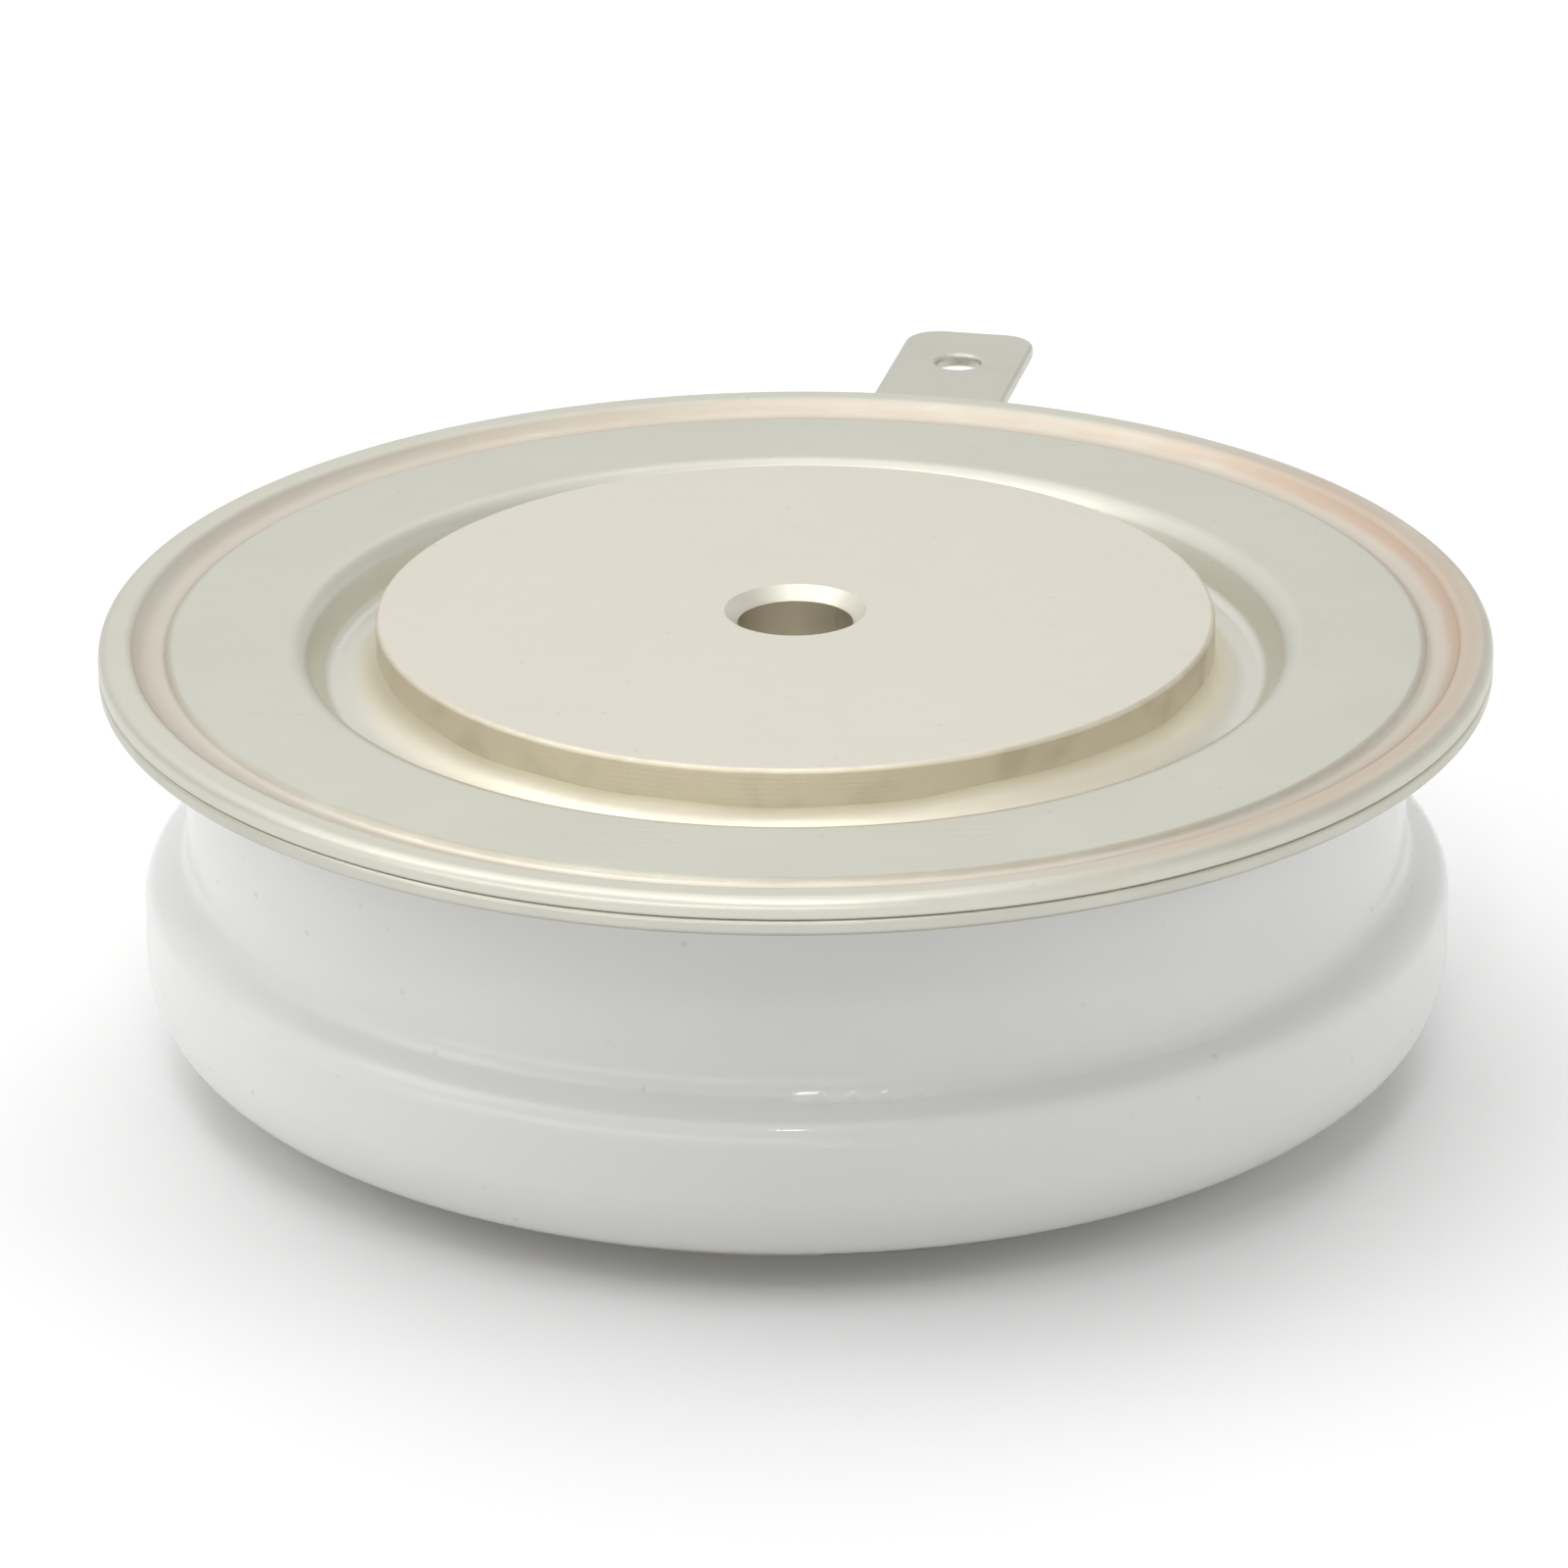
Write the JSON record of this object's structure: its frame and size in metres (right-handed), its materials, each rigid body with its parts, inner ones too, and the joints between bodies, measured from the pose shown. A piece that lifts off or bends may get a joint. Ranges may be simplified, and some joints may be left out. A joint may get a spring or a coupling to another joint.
{
  "type": "disc thyristor",
  "caption": "Round press-pack power semiconductor capsule with flat pole faces, a rimmed metal lid, a stepped glazed ceramic ring and rear terminal tabs, clamped between heat sinks.",
  "frame": {"origin": "centre of the anode contact face, at the mouth of its centring hole", "axes": "+Z along the capsule's axis from the anode face to the cathode face, +Y towards the terminals at the rear"},
  "size_m": [0.042, 0.0496, 0.014],
  "materials": {
    "glazed_alumina": "white glaze, soft gloss",
    "plated_copper": "fine turned, matt nickel plate on copper",
    "plated_sheet": "satin nickel plate",
    "silver_foil": "satin",
    "molybdenum": "lapped",
    "silicon": "polished, metallised on both faces",
    "silicone_rubber": "matt",
    "fluoroplastic": "matt",
    "terminal_metal": "satin nickel plate",
    "silver_wire": "satin",
    "spring_steel": "drawn wire",
    "mica": "matt"
  },
  "bodies": {
    "root": {"ceramic_ring": "glazed_alumina", "cathode_pole": "plated_copper", "cathode_lid": "plated_sheet", "cathode_weld_ring": "plated_sheet", "anode_pole": "plated_copper", "anode_flange": "plated_sheet", "anode_foil": "silver_foil", "anode_moly_disc": "molybdenum", "silicon_wafer": "silicon", "edge_rubber": "silicone_rubber", "locating_ring": "fluoroplastic", "cathode_moly_disc": "molybdenum", "cathode_foil": "silver_foil", "gate_tube": "terminal_metal", "gate_tab": "terminal_metal", "gate_wire": "silver_wire", "gate_sleeve": "fluoroplastic", "gate_contact_pin": "silver_wire", "gate_insulator": "fluoroplastic", "gate_spring": "spring_steel", "gate_spring_seat": "mica"}
  },
  "joints": []
}
